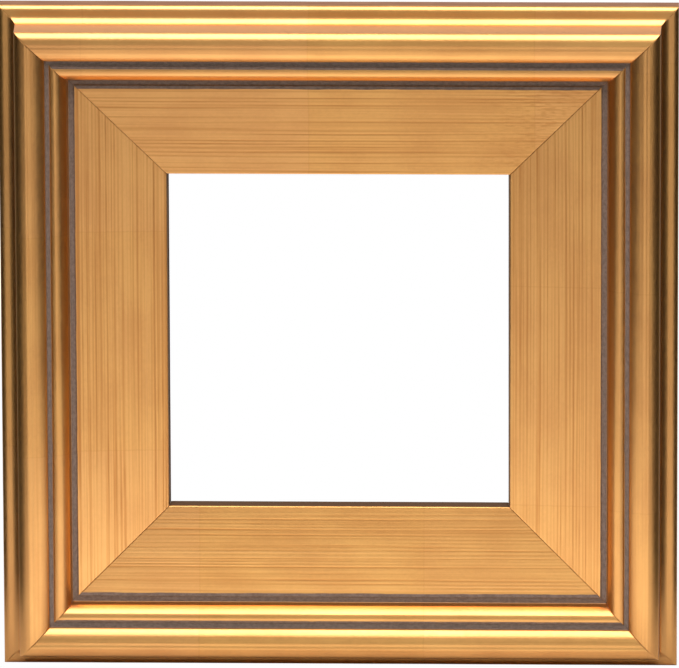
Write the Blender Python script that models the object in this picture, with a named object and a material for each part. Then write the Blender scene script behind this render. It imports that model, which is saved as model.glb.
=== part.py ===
"""Square gilded picture frame with a wide flat panel, mitred and held by V-nails.

The frame hangs on a wall. X runs along the frame's width, Z is up, and the face
looks along -Y. The wall is the plane Y = 0, and the origin is the middle of the
line between the two hanging rings' bearing points, on that plane.
Lengths below are in millimetres, and turn into metres where a mesh is made.
"""

import math

import bmesh
import bpy
from mathutils import Vector

for leftover in list(bpy.data.objects):
    bpy.data.objects.remove(leftover)

MM = 0.001
INCH = 25.4
GAP = 0.3                          # clearance kept between pieces that touch
CUT_OVERRUN = 1.0                  # how far a cutter runs out of the face it opens

# Frame
OUTER_SIDE = 11.5 * INCH
RAIL_WIDTH = 2.875 * INCH
RABBET_WIDTH = 0.1875 * INCH
RABBET_DEPTH = 0.375 * INCH
WALL_GAP = 4.8                     # from the wall to the rails' back faces
HANG_ABOVE_CENTRE = 60.0           # ring bearing points above the frame's centre

# Moulding section, as (distance in from the outer edge, height from the back)
SIDE_HEIGHT = 8.2
ARRIS_RADIUS = 2.4
TREAD_END = (4.4, 10.65)
HOLLOW_START = (5.6, 11.05)
WALL_FOOT = (7.5, 13.6)
WALL_TOP = (7.8, 28.4)
CREST = (11.8, 31.4)
CREASE = (13.9, 31.25)
SLOPE_START = (15.6, 31.05)
SLOPE_MIDDLE = (17.8, 30.35)
SLOPE_END = (20.7, 28.0)
OUTER_GROOVE = ((20.95, 26.4), (23.0, 26.4))
BEAD_START = (23.1, 27.1)
BEAD_TOP = (25.0, 27.4)
BEAD_SHOULDER = (27.0, 26.8)
BEAD_END = (29.9, 22.8)
INNER_GROOVE = ((30.4, 18.8), (32.8, 18.8))
PANEL_START = (32.9, 19.4)
PANEL_END_HEIGHT = 16.2
SIGHT_ARRIS_RADIUS = 0.5
SIGHT_DRAFT = 0.6                  # the lip leans out towards the back by this much
ARC_STEPS = 3
HOLLOW_STEPS = 2
ARRIS_STEPS = 6
SIGHT_ARC_STEPS = 3

# The face's curves from one point to the next, with each one's height off its chord
HOLLOW = ((TREAD_END, HOLLOW_START, -0.05), (HOLLOW_START, WALL_FOOT, -0.25))
SHOULDER_TO_GROOVE = ((WALL_TOP, CREST, 0.8), (CREST, CREASE, 0.15), (CREASE, SLOPE_START, 0.1),
                      (SLOPE_START, SLOPE_MIDDLE, 0.06), (SLOPE_MIDDLE, SLOPE_END, 0.2))
BEAD = ((BEAD_START, BEAD_TOP, 0.06), (BEAD_TOP, BEAD_SHOULDER, 0.08),
        (BEAD_SHOULDER, BEAD_END, 0.35))

# V-nails, three along each mitre
V_NAIL_LEG = 5.0
V_NAIL_SHEET = 0.5
V_NAIL_HEIGHT = 10.0
V_NAIL_SPREAD = math.radians(38)   # each leg's angle from the mitre line
V_NAIL_PLACES = (17.0, 37.0, 56.0)  # distance in from both outer edges

# Turn buttons, one in the middle of each rail
BUTTON_SETBACK = 8.0               # pivot from the rabbet's wall
BUTTON_REACH = 19.0                # pivot to tip
BUTTON_TAIL_RADIUS = 5.0
BUTTON_TIP_RADIUS = 3.6
BUTTON_SHEET = 1.0
BUTTON_HOLE_RADIUS = 2.0

# Strap hangers and their rings, one on each side rail
HANGER_INSET = 36.0                # hanger's centre line from the outer edge
STRAP_WIDTH = 10.0
STRAP_LENGTH = 27.0                # ring pivot to the strap's lower end
STRAP_SHEET = 0.8
STRAP_LAYER_GAP = 0.16
STRAP_HOLES = (9.0, 20.0)          # below the ring's pivot
STRAP_HOLE_RADIUS = 2.0
WIRE_RADIUS = 1.0
RING_HALF_WIDTH = 7.4
RING_CORNER = 1.8
RING_ARC_HEIGHT = 4.0              # pivot to the ring's round end's centre
LOOP_TURN_STEPS = 22

# Screws and bumpers
SCREW_HEAD_RADIUS = 3.2
SCREW_HEAD_HEIGHT = 1.7
SCREW_DOME = ((1.75, 0.0), (2.75, 0.35), (3.2, 1.0))   # (radius, down from the head's top)
SCREW_SHANK_RADIUS = 1.55
SCREW_POINT_LENGTH = 3.5
HANGER_SCREW_LENGTH = 11.0
BUTTON_SCREW_LENGTH = 9.0
BUMPER_RADIUS = 6.35
BUMPER_DOME = ((5.6, 0.0), (6.0, -0.5))   # (radius, y)
BUMPER_RIM = 0.6                   # height of the bumper's straight rim
BUMPER_PLACE = (34.0, 14.0)        # in from the side edge, up from the bottom edge
TURNED_SIDES = 24

CENTRE_Z = -HANG_ABOVE_CENTRE
HALF = OUTER_SIDE / 2
BACK_Y = -WALL_GAP
LOOP_INNER = WIRE_RADIUS + GAP
LOOP_OUTER = LOOP_INNER + STRAP_SHEET
RING_PIVOT_Y = BACK_Y + GAP + LOOP_OUTER
RING_PIVOT_Z = -(RING_ARC_HEIGHT + RING_HALF_WIDTH - WIRE_RADIUS)
SIDES = ("top", "right", "bottom", "left")
CORNERS = ("top_left", "top_right", "bottom_right", "bottom_left")
HANGER_HANDS = {"left": -1, "right": 1}


def material(name, colour, roughness, metallic):
    """A Principled material of one colour, roughness and metallic value."""
    made = bpy.data.materials.new(name)
    made.use_nodes = True
    shader = made.node_tree.nodes["Principled BSDF"]
    shader.inputs["Base Color"].default_value = (*colour, 1.0)
    shader.inputs["Roughness"].default_value = roughness
    shader.inputs["Metallic"].default_value = metallic
    return made


GILDED_WOOD = material("gilded_wood", (0.76, 0.50, 0.22), 0.38, 0.7)
NAIL_STEEL = material("v_nail_steel", (0.32, 0.33, 0.35), 0.45, 1.0)
BUTTON_METAL = material("turn_button_brass", (0.72, 0.55, 0.26), 0.35, 1.0)
STRAP_METAL = material("hanger_strap_nickel", (0.66, 0.66, 0.64), 0.3, 1.0)
RING_METAL = material("ring_nickel", (0.70, 0.70, 0.68), 0.22, 1.0)
SCREW_METAL = material("screw_zinc", (0.60, 0.61, 0.62), 0.32, 1.0)
BUMPER_RUBBER = material("bumper_rubber", (0.08, 0.08, 0.08), 0.75, 0.0)


def add_object(name, mesh_or_curve, surface):
    """Links a new object that holds the given data, with one material."""
    made = bpy.data.objects.new(name, mesh_or_curve)
    bpy.context.scene.collection.objects.link(made)
    if surface:
        made.data.materials.append(surface)
    return made


def mesh_object(name, shape, surface=None):
    """Turns a bmesh in millimetres into an object in metres, with its faces out."""
    bmesh.ops.recalc_face_normals(shape, faces=shape.faces[:])
    bmesh.ops.scale(shape, vec=(MM, MM, MM), verts=shape.verts[:])
    mesh = bpy.data.meshes.new(name)
    shape.to_mesh(mesh)
    shape.free()
    return add_object(name, mesh, surface)


def prism(shape, outline, place):
    """Adds a prism: place(point, end) puts each outline point at end 0 and end 1."""
    ends = [[shape.verts.new(place(point, end)) for point in outline] for end in (0, 1)]
    shape.faces.new(ends[0])
    shape.faces.new(ends[1])
    for i in range(len(outline)):
        j = (i + 1) % len(outline)
        shape.faces.new((ends[0][i], ends[0][j], ends[1][j], ends[1][i]))


def turned(shape, profile, centre):
    """Adds a round solid on the Y axis through centre. Profile is (radius, y)."""
    rings = []
    for radius, y in profile:
        if radius == 0:
            rings.append([shape.verts.new((centre[0], y, centre[1]))])
            continue
        ring = []
        for step in range(TURNED_SIDES):
            angle = 2 * math.pi * step / TURNED_SIDES
            x = centre[0] + radius * math.cos(angle)
            z = centre[1] + radius * math.sin(angle)
            ring.append(shape.verts.new((x, y, z)))
        rings.append(ring)
    for ring in (rings[0], rings[-1]):
        if len(ring) > 1:
            shape.faces.new(ring)
    for first, second in zip(rings, rings[1:]):
        for i in range(TURNED_SIDES):
            j = (i + 1) % TURNED_SIDES
            corners = [first[i % len(first)], first[j % len(first)]]
            corners += [second[j % len(second)], second[i % len(second)]]
            shape.faces.new(list(dict.fromkeys(corners)))


def arc(centre, radius, start, end, steps):
    """Points on a circle from angle start to angle end, in degrees."""
    points = []
    for step in range(steps + 1):
        angle = math.radians(start + (end - start) * step / steps)
        points.append((centre[0] + radius * math.cos(angle),
                       centre[1] + radius * math.sin(angle)))
    return points


def bulge(start, end, height, steps):
    """Points between start and end on a low curve that stands height off the chord."""
    (x0, y0), (x1, y1) = start, end
    length = math.hypot(x1 - x0, y1 - y0)
    across = (-(y1 - y0) / length, (x1 - x0) / length)
    points = []
    for step in range(steps + 1):
        t = step / steps
        rise = 4 * height * t * (1 - t)
        points.append((x0 + (x1 - x0) * t + across[0] * rise,
                       y0 + (y1 - y0) * t + across[1] * rise))
    return points


def moulding_section():
    """The rail's closed section, from the back's outer edge round over the face."""
    section = [(0.0, 0.0)]
    section += arc((ARRIS_RADIUS, SIDE_HEIGHT), ARRIS_RADIUS, 180, 90, ARRIS_STEPS)
    for start, end, height in HOLLOW:
        section += bulge(start, end, height, HOLLOW_STEPS)[:-1]
    section += [WALL_FOOT]
    for start, end, height in SHOULDER_TO_GROOVE:
        section += bulge(start, end, height, ARC_STEPS)[:-1]
    section += [SLOPE_END, *OUTER_GROOVE]
    for start, end, height in BEAD:
        section += bulge(start, end, height, ARC_STEPS)[:-1]
    section += [BEAD_END, *INNER_GROOVE, PANEL_START]
    arris = (RAIL_WIDTH - SIGHT_DRAFT - SIGHT_ARRIS_RADIUS, PANEL_END_HEIGHT - SIGHT_ARRIS_RADIUS)
    section += arc(arris, SIGHT_ARRIS_RADIUS, 90, 0, SIGHT_ARC_STEPS)
    section += [(RAIL_WIDTH, RABBET_DEPTH)]
    section += [(RAIL_WIDTH - RABBET_WIDTH, RABBET_DEPTH)]
    section += [(RAIL_WIDTH - RABBET_WIDTH, 0.0)]
    return section


def on_rail(side, along, inward, height):
    """A point of a rail: along its length clockwise from the front's top rail,
    inward from its outer edge, and height forward of its back face."""
    out = HALF - inward
    x, z = {"top": (along, out), "right": (out, -along),
            "bottom": (-along, -out), "left": (-out, along)}[side]
    return Vector((x, BACK_Y - height, CENTRE_Z + z))


def v_nail_outline(grow):
    """A V-nail's outline about its apex, as (across the mitre, along the mitre)."""
    half = V_NAIL_SHEET / 2 + grow
    leg = V_NAIL_LEG + grow
    lean = V_NAIL_SPREAD
    tips = []
    for hand in (1, -1):
        run = Vector((hand * math.sin(lean), math.cos(lean)))
        side = Vector((hand * math.cos(lean), -math.sin(lean)))
        tips.append((run * leg + side * half, run * leg - side * half))
    outer = Vector((0, -half / math.sin(lean)))
    inner = Vector((0, half / math.sin(lean)))
    return [outer, tips[0][0], tips[0][1], inner, tips[1][1], tips[1][0]]


def corner_frame(corner):
    """Signs of a corner's x and z, and the unit vectors across and along its mitre."""
    vertical, horizontal = corner.split("_")
    sign_x = 1 if horizontal == "right" else -1
    sign_z = 1 if vertical == "top" else -1
    along = Vector((-sign_x, 0, -sign_z)) / math.sqrt(2)
    across = Vector((sign_x, 0, -sign_z)) / math.sqrt(2)
    return sign_x, sign_z, across, along


def add_v_nail(shape, corner, inset, grow):
    """Adds one V-nail, or its slot's cutter when grow is the clearance."""
    sign_x, sign_z, across, along = corner_frame(corner)
    apex = Vector((sign_x * (HALF - inset), 0, CENTRE_Z + sign_z * (HALF - inset)))
    start = BACK_Y - GAP
    if grow:
        start = BACK_Y + CUT_OVERRUN
    stop = BACK_Y - GAP - V_NAIL_HEIGHT - grow

    def place(point, end):
        spot = apex + across * point[0] + along * point[1]
        spot.y = (start, stop)[end]
        return spot

    prism(shape, v_nail_outline(grow), place)


def screw_profile(head_y, length, grow):
    """A pan-head wood screw from its head's back to its point, as (radius, y)."""
    shank = SCREW_SHANK_RADIUS + grow
    point = length + grow
    return [(shank, head_y), (shank, head_y - point + SCREW_POINT_LENGTH),
            (0.0 if grow == 0 else grow, head_y - point)]


def screw_head(head_y):
    """The domed head that stands behind head_y, towards the wall."""
    top = head_y + SCREW_HEAD_HEIGHT
    dome = [(radius, top - drop) for radius, drop in SCREW_DOME]
    return dome + [(SCREW_HEAD_RADIUS, head_y)]


def button_pivot(side):
    spot = on_rail(side, 0, RAIL_WIDTH - RABBET_WIDTH - BUTTON_SETBACK, 0)
    return spot.x, spot.z


def strap_screw_places(hand):
    return [(hand * (HALF - HANGER_INSET), RING_PIVOT_Z - hole) for hole in STRAP_HOLES]


BUTTON_HEAD_Y = BACK_Y + GAP + BUTTON_SHEET + GAP
STRAP_HEAD_Y = BACK_Y + GAP + 2 * STRAP_SHEET + STRAP_LAYER_GAP + GAP


def add_screw_hole(shape, place, head_y, length):
    """Adds the pilot hole's cutter, which starts behind the rail's back face."""
    profile = screw_profile(head_y, length, GAP)
    profile[0] = (profile[0][0], BACK_Y + CUT_OVERRUN)
    turned(shape, profile, place)


def cut(target, cutter, operation="DIFFERENCE"):
    """Cuts target with a hidden guide object."""
    cutter.hide_render = True
    cutter.display_type = "WIRE"
    modifier = target.modifiers.new(f"{operation.lower()} {cutter.name}", "BOOLEAN")
    modifier.operation = operation
    modifier.object = cutter
    modifier.solver = "EXACT"


def make_rail(side):
    """One mitred length of moulding, with its nail slots and pilot holes."""
    mitre_back = GAP / math.sqrt(2)
    shape = bmesh.new()

    def place(point, end):
        reach = HALF - point[0] - mitre_back
        return on_rail(side, (-reach, reach)[end], point[0], point[1])

    prism(shape, moulding_section(), place)
    rail = mesh_object(f"rail_{side}", shape, GILDED_WOOD)
    holes = bmesh.new()
    for corner in CORNERS:
        if side in corner:
            for inset in V_NAIL_PLACES:
                add_v_nail(holes, corner, inset, GAP)
    add_screw_hole(holes, button_pivot(side), BUTTON_HEAD_Y, BUTTON_SCREW_LENGTH)
    if side in HANGER_HANDS:
        for spot in strap_screw_places(HANGER_HANDS[side]):
            add_screw_hole(holes, spot, STRAP_HEAD_Y, HANGER_SCREW_LENGTH)
    cut(rail, mesh_object(f"rail_{side}_holes", holes))


def make_screw(name, place, head_y, length):
    """A pan-head wood screw, head towards the wall."""
    shape = bmesh.new()
    turned(shape, screw_head(head_y) + screw_profile(head_y, length, 0), place)
    mesh_object(name, shape, SCREW_METAL)


def make_turn_button(side):
    """A flat pear-shaped button that turns on its screw, stored along its rail."""
    pivot = button_pivot(side)
    span = BUTTON_REACH - BUTTON_TIP_RADIUS
    taper = math.degrees(math.asin((BUTTON_TAIL_RADIUS - BUTTON_TIP_RADIUS) / span))
    outline = arc((0, 0), BUTTON_TAIL_RADIUS, 90 - taper, 270 + taper, 12)
    outline += arc((span, 0), BUTTON_TIP_RADIUS, -90 + taper, 90 - taper, 8)
    shape = bmesh.new()
    heights = (GAP, GAP + BUTTON_SHEET)

    def place(point, end):
        return Vector((point[0], heights[end], point[1]))

    prism(shape, outline, place)
    button = mesh_object(f"turn_button_{side}", shape, BUTTON_METAL)
    hole = bmesh.new()
    turned(hole, [(BUTTON_HOLE_RADIUS, heights[0] - GAP / 2),
                  (BUTTON_HOLE_RADIUS, heights[1] + GAP / 2)], (0, 0))
    guide = mesh_object(f"turn_button_{side}_hole", hole)
    quarter_turns = SIDES.index(side)
    for piece in (button, guide):
        piece.location = Vector((pivot[0], BACK_Y, pivot[1])) * MM
        piece.rotation_euler = (0, quarter_turns * math.pi / 2, 0)
    cut(button, guide)


def make_strap(side):
    """A steel strap folded double round the ring's bar, with two screw holes."""
    hand = HANGER_HANDS[side]
    centre_x = hand * (HALF - HANGER_INSET)
    back = BACK_Y + GAP
    top_layer = back + 2 * STRAP_SHEET + STRAP_LAYER_GAP
    slit = back + STRAP_SHEET + STRAP_LAYER_GAP
    meet = math.degrees(math.asin((top_layer - RING_PIVOT_Y) / LOOP_OUTER))
    part = math.degrees(math.asin((slit - RING_PIVOT_Y) / LOOP_INNER))
    low_end = RING_PIVOT_Z - STRAP_LENGTH
    centre = (RING_PIVOT_Z, RING_PIVOT_Y)
    outline = [(low_end, back)]
    outline += arc(centre, LOOP_OUTER, -90, 180 - meet, LOOP_TURN_STEPS)
    outline += [(low_end, top_layer), (low_end, top_layer - STRAP_SHEET)]
    outline += arc(centre, LOOP_INNER, 180 - part, -90, LOOP_TURN_STEPS)
    outline += [(low_end, back + STRAP_SHEET)]
    shape = bmesh.new()

    def place(point, end):
        return Vector((centre_x + (-1, 1)[end] * STRAP_WIDTH / 2, point[1], point[0]))

    prism(shape, outline, place)
    strap = mesh_object(f"strap_hanger_{side}", shape, STRAP_METAL)
    holes = bmesh.new()
    for spot in strap_screw_places(hand):
        turned(holes, [(STRAP_HOLE_RADIUS, BACK_Y + GAP / 2),
                       (STRAP_HOLE_RADIUS, top_layer + GAP)], spot)
    cut(strap, mesh_object(f"strap_hanger_{side}_holes", holes))
    for number, spot in enumerate(strap_screw_places(hand), start=1):
        make_screw(f"hanger_screw_{side}_{number}", spot, STRAP_HEAD_Y,
                   HANGER_SCREW_LENGTH)


def ring_path():
    """The D-ring's centre line about its bar, as (x, z)."""
    bar = RING_HALF_WIDTH - RING_CORNER
    path = arc((bar, RING_CORNER), RING_CORNER, -90, 0, 4)
    path += arc((0, RING_ARC_HEIGHT), RING_HALF_WIDTH, 0, 180, 20)
    path += arc((-bar, RING_CORNER), RING_CORNER, 180, 270, 4)
    return path


def make_ring(side):
    """The D-ring that goes over a wall hook, hinged in the strap's loop."""
    curve = bpy.data.curves.new(f"d_ring_{side}", "CURVE")
    curve.dimensions = "3D"
    curve.bevel_depth = WIRE_RADIUS * MM
    curve.bevel_resolution = 3
    path = ring_path()
    spline = curve.splines.new("POLY")
    spline.points.add(len(path) - 1)
    for point, (x, z) in zip(spline.points, path):
        point.co = (x * MM, 0, z * MM, 1)
    spline.use_cyclic_u = True
    ring = add_object(f"d_ring_{side}", curve, RING_METAL)
    centre_x = HANGER_HANDS[side] * (HALF - HANGER_INSET)
    ring.location = Vector((centre_x, RING_PIVOT_Y, RING_PIVOT_Z)) * MM


def make_bumper(hand, side):
    """A round rubber foot that keeps the frame's lower edge off the wall."""
    x = hand * (HALF - BUMPER_PLACE[0])
    z = CENTRE_Z - HALF + BUMPER_PLACE[1]
    base = BACK_Y + GAP
    shape = bmesh.new()
    turned(shape, [*BUMPER_DOME, (BUMPER_RADIUS, base + BUMPER_RIM), (BUMPER_RADIUS, base)],
           (x, z))
    mesh_object(f"wall_bumper_{side}", shape, BUMPER_RUBBER)


for rail_side in SIDES:
    make_rail(rail_side)
    make_turn_button(rail_side)
    make_screw(f"turn_button_screw_{rail_side}", button_pivot(rail_side),
               BUTTON_HEAD_Y, BUTTON_SCREW_LENGTH)

for mitre in CORNERS:
    for nail, nail_inset in enumerate(V_NAIL_PLACES, start=1):
        nail_shape = bmesh.new()
        add_v_nail(nail_shape, mitre, nail_inset, 0)
        mesh_object(f"v_nail_{mitre}_{nail}", nail_shape, NAIL_STEEL)

for hanger_side, hanger_hand in HANGER_HANDS.items():
    make_strap(hanger_side)
    make_ring(hanger_side)
    make_bumper(hanger_hand, hanger_side)

for made_object in bpy.data.objects:
    if made_object.type == "MESH" and not made_object.hide_render:
        made_object.data.shade_smooth()
        made_object.data.set_sharp_from_angle(angle=math.radians(35))
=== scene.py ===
"""The square gilded frame's looks: four mitred rails with combed gold leaf, and the hardware behind."""

import math

import bmesh
import bpy
import numpy as np
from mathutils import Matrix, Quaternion, Vector


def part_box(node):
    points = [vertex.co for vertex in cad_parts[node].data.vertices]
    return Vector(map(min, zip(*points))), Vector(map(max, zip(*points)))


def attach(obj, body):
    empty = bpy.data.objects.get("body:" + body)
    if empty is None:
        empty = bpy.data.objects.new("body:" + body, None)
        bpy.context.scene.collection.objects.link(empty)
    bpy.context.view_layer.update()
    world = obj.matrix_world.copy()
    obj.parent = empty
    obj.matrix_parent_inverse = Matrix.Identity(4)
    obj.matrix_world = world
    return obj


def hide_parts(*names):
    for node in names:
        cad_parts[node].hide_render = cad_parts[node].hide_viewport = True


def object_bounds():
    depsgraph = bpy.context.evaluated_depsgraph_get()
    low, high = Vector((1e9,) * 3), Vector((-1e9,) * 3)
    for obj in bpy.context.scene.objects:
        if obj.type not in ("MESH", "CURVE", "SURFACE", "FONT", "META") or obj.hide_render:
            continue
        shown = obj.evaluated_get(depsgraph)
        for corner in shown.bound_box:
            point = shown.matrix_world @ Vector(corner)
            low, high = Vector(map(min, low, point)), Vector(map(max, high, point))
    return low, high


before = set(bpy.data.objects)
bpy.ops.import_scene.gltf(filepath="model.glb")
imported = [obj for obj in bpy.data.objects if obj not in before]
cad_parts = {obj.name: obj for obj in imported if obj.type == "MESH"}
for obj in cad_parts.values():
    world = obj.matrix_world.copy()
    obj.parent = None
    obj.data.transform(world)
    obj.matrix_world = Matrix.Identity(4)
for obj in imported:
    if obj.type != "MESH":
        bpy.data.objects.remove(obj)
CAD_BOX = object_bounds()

MM = 0.001
SIDES = ("top", "right", "bottom", "left")
CORNERS = ("top_left", "top_right", "bottom_right", "bottom_left")
HANDS = {"left": -1, "right": 1}

# The frame's measures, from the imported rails, in millimetres
LEFT_LOW, LEFT_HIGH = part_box("rail_left")
RIGHT_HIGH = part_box("rail_right")[1]
HALF = (RIGHT_HIGH.x - LEFT_LOW.x) / 2 / MM
RAIL_WIDTH = (LEFT_HIGH.x - LEFT_LOW.x) / MM
BACK_Y = LEFT_HIGH.y / MM
CENTRE_Z = (LEFT_LOW.z + LEFT_HIGH.z) / 2 / MM

# The moulding's section, as (distance in from the outer edge, height from the back)
SIDE_HEIGHT = 8.2
ARRIS_RADIUS = 2.4
TREAD_END = (4.4, 10.65)
HOLLOW_START = (5.6, 11.05)
WALL_FOOT = (7.5, 13.6)
WALL_TOP = (7.8, 28.4)
CREST = (11.8, 31.4)
CREASE = (13.9, 31.25)
SLOPE_START = (15.6, 31.05)
SLOPE_MIDDLE = (17.8, 30.35)
SLOPE_END = (20.7, 28.0)
OUTER_GROOVE = ((20.95, 26.4), (23.0, 26.4))
BEAD_START = (23.1, 27.1)
BEAD_TOP = (25.0, 27.4)
BEAD_SHOULDER = (27.0, 26.8)
BEAD_END = (29.9, 22.8)
INNER_GROOVE = ((30.4, 18.8), (32.8, 18.8))
PANEL_START = (32.9, 19.4)
PANEL_END_HEIGHT = 16.2
SIGHT_ARRIS_RADIUS = 0.5
SIGHT_DRAFT = 0.6                  # the lip leans out towards the back by this much
RABBET_WIDTH = 4.7625
RABBET_DEPTH = 9.525

# How finely a rail is made
FINE_STEP = 0.05                   # the section before it is softened
SOFTEN = 0.16                      # how far gesso and leaf round off its corners
MOULDING_STEP = 0.32
PANEL_STEP = 0.22
STATIONS = 206                     # along each rail
MITRE_GAP = 0.012
MITRE_NOTCH = ((0.0, 0.13), (0.1, 0.045), (0.3, 0.0))   # (from the joint, sunk)

# Groove paint, as spans across the rail; the top and bottom rails got wider bands
NARROW_PAINT = ((20.8, 22.8), (30.5, 33.1))
WIDE_PAINT = ((20.8, 24.1), (30.5, 34.4))
PAINT = {"left": NARROW_PAINT, "right": NARROW_PAINT, "top": WIDE_PAINT, "bottom": WIDE_PAINT}
PAINT_EDGE = 0.22

COMB_TEETH = 1.5                   # between the comb's teeth
SHARP = math.radians(40)           # edges bent more than this are shaded hard

# Bold grooves in the side rails' panels, and where the comb skips on the top rail's
BOLD_LINES = {"top": 0.35, "right": 0.8, "bottom": 0.3, "left": 1.0}
CHOPPED_FROM = {"top": (52, 88), "right": (900, 901), "bottom": (900, 901), "left": (900, 901)}

GILDED, WASHED, BARE = range(3)       # the rails' surfaces, in the order of their material slots
BODY = "frame"
RAIL_APART = 400.0                 # between the rails' places in the grain's pattern
CREST_END = 19.0                   # how far in the crest's faint grain goes
SWELL = 0.02                       # slow waves in the mouldings


# ---------------------------------------------------------------- noise

def lattice(seed):
    return np.random.RandomState(seed).rand(256, 256) * 2 - 1


def noise(a, b, seed):
    """Smooth value noise from -1 to 1 on a unit grid."""
    table = lattice(seed)
    i, j = np.floor(a).astype(int), np.floor(b).astype(int)
    fa, fb = a - i, b - j
    fa, fb = fa * fa * (3 - 2 * fa), fb * fb * (3 - 2 * fb)
    i0, i1, j0, j1 = i & 255, (i + 1) & 255, j & 255, (j + 1) & 255
    low = table[i0, j0] * (1 - fa) + table[i1, j0] * fa
    high = table[i0, j1] * (1 - fa) + table[i1, j1] * fa
    return low * (1 - fb) + high * fb


def ramp(value, low, high):
    """0 below low, 1 above high, smooth between."""
    t = np.clip((value - low) / (high - low), 0, 1)
    return t * t * (3 - 2 * t)


# ---------------------------------------------------------------- the section

def arc(centre, radius, start, end, steps):
    angles = np.radians(np.linspace(start, end, steps + 1))
    return [(centre[0] + radius * math.cos(a), centre[1] + radius * math.sin(a)) for a in angles]


def bulge(start, end, height, steps=12):
    """Points between start and end on a low curve that stands height off the chord."""
    (x0, y0), (x1, y1) = start, end
    length = math.hypot(x1 - x0, y1 - y0)
    points = []
    for t in np.linspace(0, 1, steps + 1):
        rise = 4 * height * t * (1 - t) / length
        points.append((x0 + (x1 - x0) * t - (y1 - y0) * rise, y0 + (y1 - y0) * t + (x1 - x0) * rise))
    return points


# The face's curves from one point to the next, with each one's height off its chord
HOLLOW = ((TREAD_END, HOLLOW_START, -0.05), (HOLLOW_START, WALL_FOOT, -0.25))
SHOULDER_TO_GROOVE = ((WALL_TOP, CREST, 0.8), (CREST, CREASE, 0.15), (CREASE, SLOPE_START, 0.1),
                      (SLOPE_START, SLOPE_MIDDLE, 0.06), (SLOPE_MIDDLE, SLOPE_END, 0.2))
BEAD = ((BEAD_START, BEAD_TOP, 0.06), (BEAD_TOP, BEAD_SHOULDER, 0.08), (BEAD_SHOULDER, BEAD_END, 0.35))


def face_line():
    """The visible side of the section, from the back's outer edge to the rabbet's lip."""
    line = [(0.0, 0.0)]
    line += arc((ARRIS_RADIUS, SIDE_HEIGHT), ARRIS_RADIUS, 180, 92, 12)
    for start, end, height in HOLLOW + SHOULDER_TO_GROOVE:
        line += bulge(start, end, height)
    line += OUTER_GROOVE
    for start, end, height in BEAD:
        line += bulge(start, end, height)
    line += INNER_GROOVE
    line += [PANEL_START]
    arris = (RAIL_WIDTH - SIGHT_DRAFT - SIGHT_ARRIS_RADIUS, PANEL_END_HEIGHT - SIGHT_ARRIS_RADIUS)
    line += arc(arris, SIGHT_ARRIS_RADIUS, 90, 6, 8)
    line += [(RAIL_WIDTH, RABBET_DEPTH)]
    return np.array(line)


def run_length(line):
    return np.concatenate([[0], np.cumsum(np.hypot(*np.diff(line, axis=0).T))])


def resampled(line, places):
    at = run_length(line)
    return np.column_stack([np.interp(places, at, line[:, k]) for k in (0, 1)])


def softened(line):
    """The section with its corners rounded off, at an even step."""
    length = run_length(line)[-1]
    fine = resampled(line, np.arange(0, length, FINE_STEP))
    reach = int(3 * SOFTEN / FINE_STEP)
    weights = np.exp(-0.5 * (np.arange(-reach, reach + 1) * FINE_STEP / SOFTEN) ** 2)
    weights /= weights.sum()
    padded = np.vstack([2 * fine[0] - fine[reach:0:-1], fine, 2 * fine[-1] - fine[-2:-reach - 2:-1]])
    return np.column_stack([np.convolve(padded[:, k], weights, "valid") for k in (0, 1)])


def visible_section():
    """Section points, closer together on the combed panel."""
    fine = softened(face_line())
    at = run_length(fine)
    panel = at[np.argmax(fine[:, 0] > PANEL_START[0] - 0.4)]
    first = np.linspace(0, panel, int(panel / MOULDING_STEP))
    second = np.linspace(panel, at[-1], int((at[-1] - panel) / PANEL_STEP))
    return resampled(fine, np.concatenate([first, second[1:]]))


def back_section():
    """The rest of the section: rabbet and back, with eased edges."""
    ease = 0.25
    wall = RAIL_WIDTH - RABBET_WIDTH
    return np.array([(RAIL_WIDTH - ease, RABBET_DEPTH - 0.05), (wall, RABBET_DEPTH), (wall, ease),
                     (wall - ease, 0.0), (ease, 0.0)])


def section_normals(section):
    ahead = np.roll(section, -1, axis=0) - np.roll(section, 1, axis=0)
    normals = np.column_stack([-ahead[:, 1], ahead[:, 0]])
    return normals / np.maximum(np.hypot(*normals.T), 1e-9)[:, None]


# ---------------------------------------------------------------- shapes

def linked(name, data):
    made = bpy.data.objects.new(name, data)
    bpy.context.scene.collection.objects.link(made)
    return made


def mesh_from(shape, name):
    """A mesh from a bmesh, which is used up."""
    mesh = bpy.data.meshes.new(name)
    shape.to_mesh(mesh)
    shape.free()
    return mesh


def solid(name, points, surfaces, closed_rows=False):
    """A smooth closed mesh from a grid of points whose rows are closed loops. With
    closed_rows the last row joins the first; otherwise the two end rows are capped."""
    rows, columns = points.shape[:2]
    index = np.arange(rows * columns).reshape(rows, columns)
    index = np.vstack([index, index[:1]]) if closed_rows else index
    following = np.roll(index, -1, axis=1)
    quads = np.stack([index[:-1], index[1:], following[1:], following[:-1]], axis=-1).reshape(-1, 4)
    faces = [tuple(q) for q in quads.tolist()]
    if not closed_rows:
        faces += [tuple(index[0].tolist()), tuple(index[-1][::-1].tolist())]
    mesh = bpy.data.meshes.new(name)
    mesh.from_pydata((points.reshape(-1, 3) * MM).tolist(), [], faces)
    for surface in surfaces:
        mesh.materials.append(surface)
    face_out(mesh)
    return linked(name, mesh)


def face_out(mesh):
    shape = bmesh.new()
    shape.from_mesh(mesh)
    bmesh.ops.recalc_face_normals(shape, faces=shape.faces[:])
    for face in shape.faces:
        face.smooth = True
    shape.to_mesh(mesh)
    shape.free()
    mesh.set_sharp_from_angle(angle=SHARP)


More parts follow.
